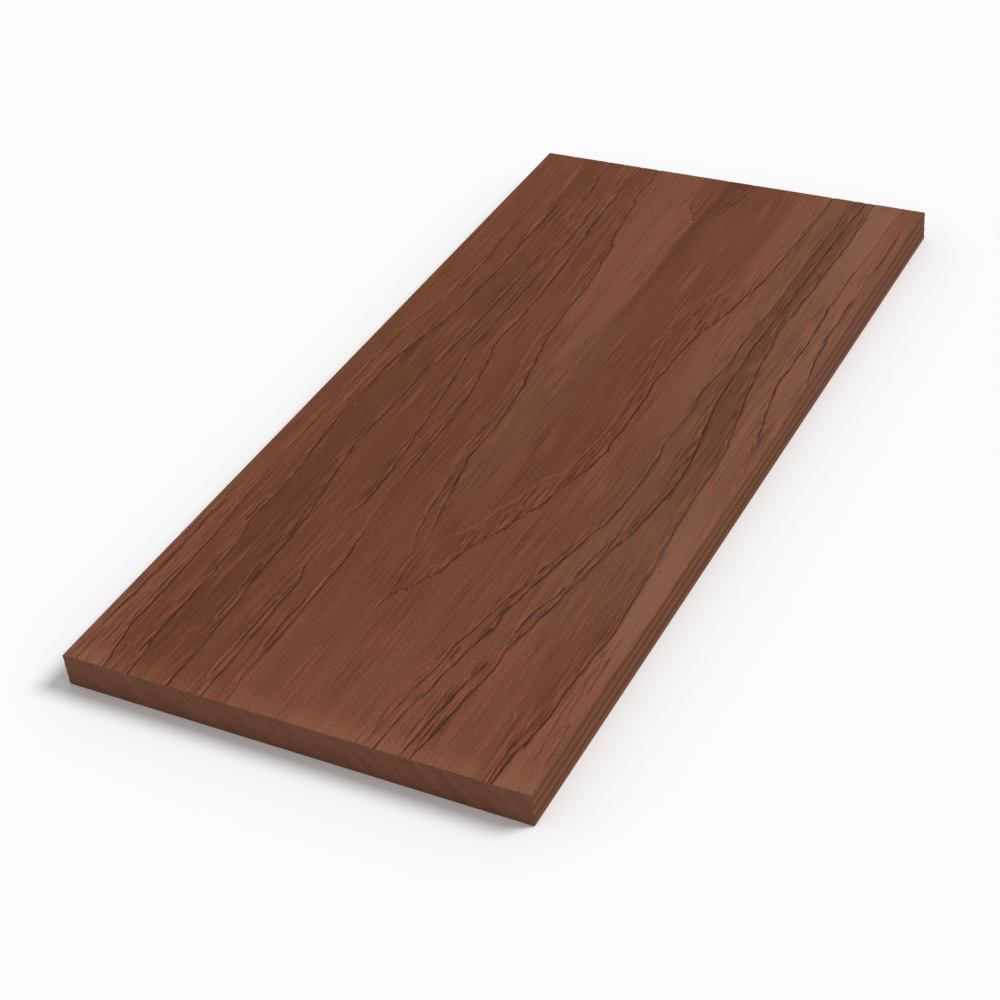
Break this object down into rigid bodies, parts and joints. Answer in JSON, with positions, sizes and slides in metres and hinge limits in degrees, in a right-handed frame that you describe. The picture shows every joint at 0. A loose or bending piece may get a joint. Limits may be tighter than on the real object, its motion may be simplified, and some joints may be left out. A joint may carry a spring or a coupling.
{
  "type": "fascia board",
  "caption": "Flat solid composite fascia board with an embossed cathedral wood-grain face, shallow fluted long edges and square sawn ends, for covering rafter ends or a deck rim.",
  "frame": {"origin": "centre of the back face, on the surface that the board lies on", "axes": "+X across the width, +Y along the length, +Z out of the embossed face"},
  "size_m": [0.286, 0.6, 0.021],
  "materials": {
    "composite": "matte"
  },
  "bodies": {
    "root": {"fascia_board": "composite"}
  },
  "joints": []
}
